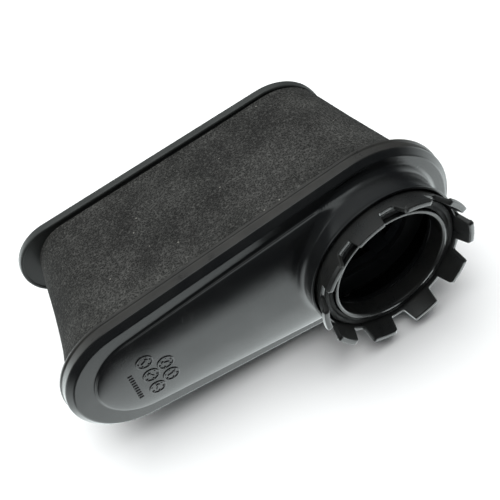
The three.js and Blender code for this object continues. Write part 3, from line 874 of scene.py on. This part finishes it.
def clip_grid(clip):
    """Angle, radius and height of the ring's closed grid.

    Rows run from the wall's foot up to the castellated edge, round it and down the inside, over the
    channel's floor and the spigot, and back under the floor.
    """
    edge, unrolled = clip_edge(clip)
    girth = 2 * np.pi * unrolled
    along = np.roll(edge, -1, axis=0) - np.roll(edge, 1, axis=0)
    along[[0, -1], 0] += girth
    along /= np.linalg.norm(along, axis=1)[:, None]
    inward = np.stack([along[:, 1], -along[:, 0]], axis=-1)
    spacing = edge[0, 0] + girth * np.arange(len(edge)) / len(edge)
    base = 0.7 * edge[:, 0] + 0.3 * spacing
    pitch = girth / clip.tabs

    def wall_row(arc, height, depth):
        return arc / unrolled, clip_radius(clip, height) - depth * clip_wall(clip, height), height

    def barb(arc, height):
        tab = np.round(arc / pitch)
        beside = np.abs(arc - tab * pitch)
        drop = (clip.height - height) / clip.barb_height
        bevel = np.clip(np.minimum(drop / 0.72, (1 - drop) / 0.28), 0, 1)
        half = pitch / 2 - clip.notch_mouth / 2
        mask = np.clip((half - 0.1 * MM - beside) / (0.7 * MM), 0, 1)
        barbed = ~np.isin(np.mod(tab, clip.tabs), PLAIN_TABS)
        return clip.barb * bevel * mask * (3 - 2 * mask) * mask * barbed

    def blend_row(share, depth, foot):
        point = edge + inward * clip.edge
        arc = base + (point[:, 0] - base) * share
        height = foot + (point[:, 1] - foot) * share
        angle, radius, height = wall_row(arc, height, depth)
        return angle, radius + (barb(arc, height) if depth == 0 else 0), height

    rows = []
    for share in np.concatenate([np.linspace(0, 0.72, 8), np.linspace(0.74, 1, 22)]):
        rows.append(blend_row(share, 0, clip.straight))
    quarter = np.linspace(0, np.pi / 2, 6)[1:]
    for bend in quarter:
        point = edge + inward * clip.edge * (1 - math.sin(bend))
        angle, radius, height = wall_row(point[:, 0], point[:, 1], 0)
        out = barb(point[:, 0], np.minimum(point[:, 1], clip.height))
        rows.append((angle, radius - clip.edge * (1 - math.cos(bend)) + out, height))
    outer = rows[-1][1]
    for bend in np.pi / 2 - quarter[::-1]:
        point = edge + inward * clip.edge * (1 - math.cos(bend))
        angle, radius, height = wall_row(point[:, 0], point[:, 1], 1)
        rows.append((angle, radius + clip.edge * (1 - math.sin(bend)), height))
    inner_edge = len(rows) - len(quarter)
    angle, radius, height = rows[inner_edge]
    rows.insert(inner_edge, (angle, (outer + radius) / 2, height))
    for share in np.concatenate([np.linspace(0.985, 0.7, 6), np.linspace(0.6, 0.02, 6)]):
        rows.append(blend_row(share, 1, clip.floor + 0.5 * MM))

    floor_outer = clip_radius(clip, clip.floor) - clip.foot_wall
    spigot = clip.bore + clip.spigot_wall
    under = clip.floor - clip.floor_wall
    inner_wall = clip.radius - clip.foot_wall
    profile = softened(
        [
            (floor_outer, clip.floor + 0.5 * MM), (floor_outer, clip.floor), (spigot, clip.floor),
            (spigot, clip.floor + clip.spigot_rise), (clip.bore, clip.floor + clip.spigot_rise),
            (clip.bore, 0), (spigot, 0), (spigot, under), (inner_wall, under), (inner_wall, 0),
            (clip.radius, 0), (clip.radius, clip.straight * 0.8),
        ],
        [0, 0.5 * MM, 0.6 * MM, 0.4 * MM, 0.9 * clip.spigot_wall, *[0.4 * MM] * 6, 0], 6,
    )
    for radius, height in spread(profile, 2 * MM):
        rows.append((base / unrolled, radius + 0 * base, height + 0 * base))
    return [np.stack(values) for values in zip(*rows)]


class AIRFILTER_OT_clip(bpy.types.Operator):
    """Builds the snap ring: a leaning wall whose upper edge is castellated, on a grid of (angle, row)"""

    bl_idname = "airfilter.clip"
    bl_label = "Snap ring"

    def execute(self, context):
        clip, cover = context.scene.filter_clip, context.scene.filter_cover
        angle, radius, height = clip_grid(clip)
        centre = neck_centre(cover)
        points = to_frame(
            centre + radius * np.cos(angle), radius * np.sin(angle), height + clip.foot,
        )
        made = new_piece("SnapRing", points, grid_faces(*radius.shape, wrap_rows=True))
        made.data.materials.append(
            moulded_plastic("Moulded black nylon", "#1c1d1d", "#242423", 0.3, 0.01 * MM)
        )
        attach(made, "cartridge")
        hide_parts("clip_ring")
        return {"FINISHED"}


class AIRFILTER_OT_seal(bpy.types.Operator):
    """Builds the rubber seal: a section with two beads turned about the neck's axis"""

    bl_idname = "airfilter.seal"
    bl_label = "Neck seal"

    def execute(self, context):
        clip, cover = context.scene.filter_clip, context.scene.filter_cover
        inner = clip.bore + clip.spigot_wall + clip.gap
        outer = clip_radius(clip, clip.floor) - clip.foot_wall - clip.gap
        foot = clip.foot + clip.floor + clip.gap
        top = foot + clip.seal
        width = outer - inner
        section = softened(
            [
                (inner, foot), (outer, foot), (outer, top), (outer - 0.3 * width, top),
                (inner + 0.5 * width, top - 0.25 * clip.seal), (inner + 0.3 * width, top), (inner, top),
            ],
            [0.25 * MM, 0.25 * MM, 0.4 * MM, 0.3 * MM, 0.3 * MM, 0.3 * MM, 0.4 * MM], 4, closed=True,
        )
        turn = 2 * np.pi * np.arange(clip.seal_columns) / clip.seal_columns
        radius, height = section.T[:, :, None]
        points = to_frame(
            neck_centre(cover) + radius * np.cos(turn), radius * np.sin(turn), height + 0 * turn,
        )
        quads = grid_faces(len(section), len(turn), wrap_rows=True)
        made = new_piece("NeckSeal", points, quads)
        made.data.materials.append(moulded_rubber())
        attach(made, "cartridge")
        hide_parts("neck_seal")
        return {"FINISHED"}


# ---- Body ----------------------------------------------------------------------------------------

def body_plans(cover, body):
    """Plans of the closed end and of the foam's upper and lower ends, from the cover's plan."""
    outline = oval(cover.length, cover.narrow_radius, cover.wide_radius)
    cap_length = cover.length - body.cap_narrow_end - body.cap_wide_end
    cap_narrow = cover.narrow_radius - body.cap_narrow_side
    cap_wide = cover.wide_radius - body.cap_wide_side
    shift = (body.cap_narrow_end - body.cap_wide_end) / 2
    cap = oval(cap_length, cap_narrow, cap_wide, shift)
    foot = oval(
        cap_length - body.foam_narrow - body.foam_wide, cap_narrow - body.foam_side,
        cap_wide - body.foam_side, shift + (body.foam_narrow - body.foam_wide) / 2,
    )
    return cap, grown(outline, -body.foam_cover), foot


def foam_foot(body):
    """Where the sleeve ends, a small gap before the closed end."""
    return -body.depth + 0.3 * MM


def body_mix(body, height):
    """Share of the way down the sleeve, from 0 at the foam's top to 1 at its foot."""
    return (body.foam_top - height) / (body.foam_top - foam_foot(body))


class AIRFILTER_OT_foam(bpy.types.Operator):
    """Builds the foam sleeve: a loft between two ovals, swollen near the cover, with slow waves and grain"""

    bl_idname = "airfilter.foam"
    bl_label = "Foam prefilter"

    def execute(self, context):
        cover, body = context.scene.filter_cover, context.scene.filter_body
        _, top_plan, foot_plan = body_plans(cover, body)
        foot = foam_foot(body)
        loop = softened(
            [(body.foam / 2, foot), (0, foot), (0, body.foam_top), (body.foam, body.foam_top),
             (body.foam, foot), (body.foam / 2, foot)],
            [0, 1.6 * MM, 0.8 * MM, 0.8 * MM, 1.2 * MM, 0], 4,
        )[:-1]
        middle = body.foam / 2
        outer = loop[:, 0] < middle
        inner = spread(loop[~outer | (loop[:, 1] == foot)], 6 * MM)
        profile = np.concatenate([spread(loop[outer], 0.75 * MM), inner[inner[:, 0] > middle]])
        mix = body_mix(body, profile[:, 1])
        columns = body.foam_columns
        random = np.random.default_rng(7)
        phases = random.uniform(0, 2 * np.pi, 12)
        grain = random.normal(0, 1, (len(profile), columns))

        def swell(share, height, inset):
            skin = np.clip(1 - inset / (2 * MM), 0, 1)
            near = np.exp(-((height - body.foam_top + 9 * MM) / (10 * MM)) ** 2)
            tip = 0.5 - 0.5 * np.cos(2 * np.pi * share)
            slow = sum(
                np.sin(2 * np.pi * (k + 2) * share + phases[k] + height / ((9 + 4 * k) * MM)) / (k + 2)
                for k in range(6)
            )
            rough = np.clip(grain, -2.2, 2.2)
            return skin * (body.bulge * near * (0.35 + 0.65 * tip) + body.wave * slow
                           + body.grain * rough)

        x, y, z = loft(top_plan, foot_plan, np.column_stack([profile, mix]), columns, swell)
        made = new_piece("FoamPrefilter", to_frame(x, y, z), grid_faces(*x.shape, wrap_rows=True))
        made.data.materials.append(open_cell_foam())
        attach(made, "prefilter")
        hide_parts("foam_prefilter")
        return {"FINISHED"}


class AIRFILTER_OT_cap(bpy.types.Operator):
    """Builds the closed end: ovals stacked from the recess in front, round the rim, to the stepped back"""

    bl_idname = "airfilter.cap"
    bl_label = "Closed end"

    def execute(self, context):
        cover, body = context.scene.filter_cover, context.scene.filter_body
        cap_plan, _, foot_plan = body_plans(cover, body)
        front, back = -body.depth, -body.depth - body.rim
        floor = back + body.cap_floor
        recess = body.foam + body.pleat_gap - 1.8 * MM
        bead, bead_width, back_step = 0.5 * MM, 1.6 * MM, 0.9 * MM
        corners = [
            (15 * MM, back + back_step, 0), (8.5 * MM, back + back_step, 0), (7.6 * MM, back, 0),
            (0, back, 0), (0, front, 0), (bead_width, front, 0), (bead_width, front - bead, 0),
            (0.2 * MM, front - bead, 0.35), (recess, front - bead, 1), (recess, floor, 1),
            (recess + 8 * MM, floor, 1),
        ]
        radii = [0, 0.6 * MM, 0.5 * MM, body.cap_round, body.cap_round, 0.3 * MM, 0.3 * MM, 0,
                 0.4 * MM, 0.3 * MM, 0]
        profile = softened(corners, radii, 6)
        columns = body.cap_columns
        x, y, z = loft(cap_plan, foot_plan, spread(profile, 2.5 * MM), columns)
        last = (len(x) - 1) * columns
        back_strip, back_ends = zip_faces(0, columns, flip=True)
        front_strip, front_ends = zip_faces(last, columns)
        quads = np.concatenate([grid_faces(*x.shape), back_strip, front_strip])
        made = new_piece("ClosedEnd", to_frame(x, y, z), quads, np.concatenate([back_ends, front_ends]))
        # Painted light: the closed end's plastic is painted paler than the cover's, for the brighter light
        # that falls on it.
        made.data.materials.append(
            moulded_plastic("Moulded polypropylene painted paler", "#2d2f2e", "#353736", 0.42, 0.014 * MM)
        )
        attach(made, "cartridge")
        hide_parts("closed_end_cap")
        return {"FINISHED"}


class AIRFILTER_OT_pleats(bpy.types.Operator):
    """Builds the pleats: ovals whose inset follows a rounded zigzag, arcsin(k cos) of the fold's phase"""

    bl_idname = "airfilter.pleats"
    bl_label = "Pleats"

    def execute(self, context):
        cover, body = context.scene.filter_cover, context.scene.filter_body
        _, top_plan, foot_plan = body_plans(cover, body)
        columns = body.pleats * body.fold_columns
        heights = np.linspace(body.pleat_foot, body.pleat_top, body.fold_rows)
        inset = np.full(body.fold_rows, body.foam + body.pleat_gap)
        outer = np.column_stack([inset, heights])
        inner = np.column_stack([inset + body.paper, heights])[::-1]
        profile = np.concatenate([outer, inner])
        mix = body_mix(body, profile[:, 1])
        sharp, sway = 0.985, 0.12 * MM

        def fold(share, height, level):
            wave = np.arcsin(sharp * np.cos(2 * np.pi * body.pleats * share)) / math.asin(sharp)
            lean = sway * np.sin(height / (7 * MM) + 40 * np.pi * share)
            return (body.pleat_depth - body.paper) * (wave - 1) / 2 + lean - sway

        x, y, z = loft(top_plan, foot_plan, np.column_stack([profile, mix]), columns, fold)
        made = new_piece("Pleats", to_frame(x, y, z), grid_faces(*x.shape, wrap_rows=True))
        made.data.materials.append(filter_paper())
        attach(made, "cartridge")
        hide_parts("pleated_element")
        return {"FINISHED"}


class AIRFILTER_OT_inner(bpy.types.Operator):
    """Gives the support core and both pottings, which keep their CAD shapes, their materials"""

    bl_idname = "airfilter.inner"
    bl_label = "Core and potting"

    def execute(self, context):
        potting = cast_polyurethane()
        cage = moulded_plastic("Moulded cage polypropylene", "#34373a", "#3c3f42", 0.4, 0.02 * MM)
        looks = {"open_end_potting": potting, "closed_end_potting": potting, "support_core": cage}
        for name, look in looks.items():
            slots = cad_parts[name].material_slots
            if not slots:
                raise RuntimeError(f"{name} has no material slot")
            for slot in slots:
                slot.material = look
        return {"FINISHED"}


# ---- Stage ---------------------------------------------------------------------------------------

def aimed(direction, roll=0.0):
    """A rotation whose -Z axis follows the direction, turned by a roll about it."""
    forward = direction.normalized()
    right = forward.cross(Vector((0, 0, 1))).normalized()
    up = right.cross(forward)
    turned = math.cos(roll) * right - math.sin(roll) * up
    lifted = math.sin(roll) * right + math.cos(roll) * up
    return Matrix((turned, lifted, -forward)).transposed()


def softbox(name, place, target, size, power):
    """A square white area light at a place, aimed at the target."""
    light = bpy.data.lights.new(name, "AREA")
    light.shape, light.size, light.energy = "SQUARE", size, power
    made = bpy.data.objects.new(name, light)
    made.matrix_world = Matrix.Translation(place) @ aimed(target - place).to_4x4()
    bpy.context.scene.collection.objects.link(made)
    return made


def studio_world():
    """Surroundings seen in the gloss: a dim room with round soft panels. The camera sees a pale backdrop.

    A panel is a direction, an inner and an outer angle in degrees, a tint and a radiance. It covers
    what comes before it within the inner angle of its direction, and fades out by the outer one.
    """
    panels = (
        ((0.0, 0.0, -1.0), 37, 43, "#f7ffff", 2.85),
        ((-0.1, 0.22, -0.97), 10, 26, "#f7ffff", 1.6),
        ((0.9, -0.05, -0.4), 15, 40, "#f7ffff", 2.2),
        ((0.61, -0.36, -0.71), 14, 20, "#f7ffff", 4.6),
        ((-0.8, -0.1, -0.55), 10, 34, "#f7ffff", 2.0),
        ((-0.62, 0.63, -0.5), 18, 44, "#f7ffff", 3.6),
        ((-0.6, 0.62, 0.45), 12, 36, "#f7ffff", 1.6),
        ((0.0, 0.62, 0.78), 20, 60, "#f7fdff", 0.4),
        ((0.0, 0.0, 1.0), 8, 24, "#f7ffff", 1.6),
    )
    world = bpy.data.worlds.new("Studio")
    world.use_nodes = True
    tree = world.node_tree
    tree.nodes.clear()
    ray = node(tree, "ShaderNodeTexCoord").outputs["Generated"]
    colour = node(tree, "ShaderNodeRGB").outputs[0]
    colour.default_value = srgb("#373b3e")
    for direction, inner, outer, tint, radiance in panels:
        facing = node(
            tree, "ShaderNodeVectorMath", {0: ray, 1: Vector(direction).normalized()},
            operation="DOT_PRODUCT",
        ).outputs["Value"]
        glow = ranged(
            tree, facing, math.cos(math.radians(outer)), math.cos(math.radians(inner)), 0, 1,
        )
        panel = [channel * radiance for channel in srgb(tint)[:3]] + [1]
        colour = mixed(tree, glow, colour, panel)
    seen = node(tree, "ShaderNodeLightPath").outputs["Is Camera Ray"]
    colour = mixed(tree, seen, colour, srgb("#eef0f0"))
    back = node(tree, "ShaderNodeBackground", {"Color": colour, "Strength": 1.0})
    node(tree, "ShaderNodeOutputWorld", {"Surface": back.outputs[0]})
    bpy.context.scene.world = world


class AIRFILTER_OT_stage(bpy.types.Operator):
    """Builds the pale floor, the soft light and the camera"""

    bl_idname = "airfilter.stage"
    bl_label = "Stage"

    def execute(self, context):
        scene, stage = context.scene, context.scene.filter_stage
        low, high = CAD_BOX
        target = (low + high) / 2 + Vector(stage.target)

        heading, elevation = math.radians(stage.heading), math.radians(stage.elevation)
        forward = Vector((
            math.sin(heading) * math.cos(elevation), math.cos(heading) * math.cos(elevation),
            -math.sin(elevation),
        ))
        camera = bpy.data.cameras.new("Camera")
        camera.lens, camera.sensor_width = stage.lens, 36
        viewer = bpy.data.objects.new("Camera", camera)
        turn = aimed(forward, math.radians(stage.roll)).to_4x4()
        viewer.matrix_world = Matrix.Translation(target - forward * stage.distance) @ turn
        scene.collection.objects.link(viewer)
        scene.camera = viewer

        half = stage.floor / 2
        ground = np.array([(-half, -half, 0), (half, -half, 0), (half, half, 0), (-half, half, 0)])
        floor = new_piece("Floor", ground, np.array([[0, 1, 2, 3]]), smooth=False)
        paper, tree, bsdf, place = new_material("Studio paper", Roughness=0.95)
        tone = mixed(tree, noise(tree, place, 0.8, 2), srgb("#f4f4f4"), srgb("#f7f7f7"))
        tree.links.new(tone, bsdf.inputs["Base Color"])
        floor.data.materials.append(paper)
        floor.visible_glossy = False

        key = softbox("Key", target + Vector(stage.key_place), target, stage.key_size, stage.key)
        key.visible_glossy = False
        studio_world()
        scene.view_settings.view_transform = "Standard"
        return {"FINISHED"}


# ---- Panel and registration ----------------------------------------------------------------------

PIECES = (
    AIRFILTER_OT_cover, AIRFILTER_OT_marks, AIRFILTER_OT_clip, AIRFILTER_OT_seal, AIRFILTER_OT_foam,
    AIRFILTER_OT_cap, AIRFILTER_OT_pleats, AIRFILTER_OT_inner, AIRFILTER_OT_stage,
)
GROUPS = {
    "filter_cover": CoverSizes, "filter_marks": MarkSizes, "filter_clip": ClipSizes,
    "filter_body": BodySizes, "filter_stage": StageSettings,
}


class AIRFILTER_PT_panel(bpy.types.Panel):
    """Lists the filter's pieces and their sizes"""

    bl_idname = "AIRFILTER_PT_panel"
    bl_label = "Air filter"
    bl_space_type = "VIEW_3D"
    bl_region_type = "UI"
    bl_category = "Air filter"

    def draw(self, context):
        for piece in PIECES:
            self.layout.operator(piece.bl_idname)
        for name, group in GROUPS.items():
            box = self.layout.box()
            box.label(text=name.replace("_", " ").capitalize())
            for key in group.__annotations__:
                box.prop(getattr(context.scene, name), key)


def register():
    """Registers the classes and hangs each group of sizes on the scene."""
    for group in GROUPS.values():
        bpy.utils.register_class(group)
    for name, group in GROUPS.items():
        setattr(bpy.types.Scene, name, bpy.props.PointerProperty(type=group))
    for piece in PIECES:
        bpy.utils.register_class(piece)
    bpy.utils.register_class(AIRFILTER_PT_panel)


def unregister():
    """Undoes register()."""
    bpy.utils.unregister_class(AIRFILTER_PT_panel)
    for piece in reversed(PIECES):
        bpy.utils.unregister_class(piece)
    for name in GROUPS:
        delattr(bpy.types.Scene, name)
    for group in reversed(GROUPS.values()):
        bpy.utils.unregister_class(group)


def main():
    """Builds every piece in order."""
    register()
    bpy.ops.airfilter.cover()
    bpy.ops.airfilter.marks()
    bpy.ops.airfilter.clip()
    bpy.ops.airfilter.seal()
    bpy.ops.airfilter.foam()
    bpy.ops.airfilter.cap()
    bpy.ops.airfilter.pleats()
    bpy.ops.airfilter.inner()
    bpy.ops.airfilter.stage()


if __name__ == "__main__":
    main()
